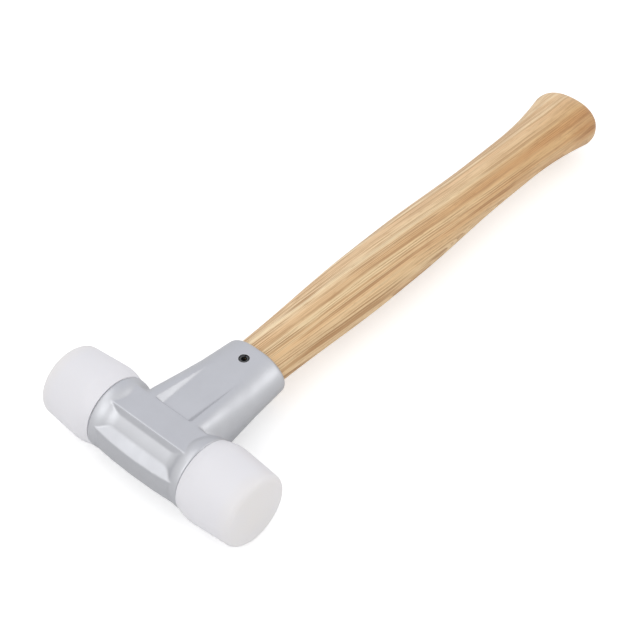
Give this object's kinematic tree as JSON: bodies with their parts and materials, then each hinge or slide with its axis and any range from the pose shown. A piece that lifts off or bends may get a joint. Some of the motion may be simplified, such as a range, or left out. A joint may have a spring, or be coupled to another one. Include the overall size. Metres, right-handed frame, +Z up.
{
  "type": "soft-face hammer",
  "caption": "Soft-face hammer: a waisted die-cast zinc head with replaceable white nylon striking faces, on an oval ash handle with a flared knob, held by a spring pin.",
  "frame": {"origin": "under the middle of the bounding box, on the surface that the hammer lies on", "axes": "+X along the handle from the head to the knob, +Y along the head to the left face, +Z up, square to the flat side of the head that lies uppermost"},
  "size_m": [0.3394, 0.12, 0.04],
  "materials": {
    "zinc": "shot-blasted die-cast zinc, satin grey",
    "nylon": "moulded natural white nylon, slightly translucent",
    "ash": "sanded ash with straight grain and a thin clear oil",
    "dark_steel": "black phosphated spring steel"
  },
  "bodies": {
    "head": {"head_housing": "zinc", "handle": "ash", "handle_pin": "dark_steel"},
    "left_face": {"left_face": "nylon"},
    "right_face": {"right_face": "nylon"}
  },
  "joints": [
    {"name": "left_face_slide", "type": "slide", "parent": "head", "child": "left_face", "axis": [0, 1, 0], "range_m": [0, 0.018]},
    {"name": "right_face_slide", "type": "slide", "parent": "head", "child": "right_face", "axis": [0, -1, 0], "range_m": [0, 0.018]}
  ]
}
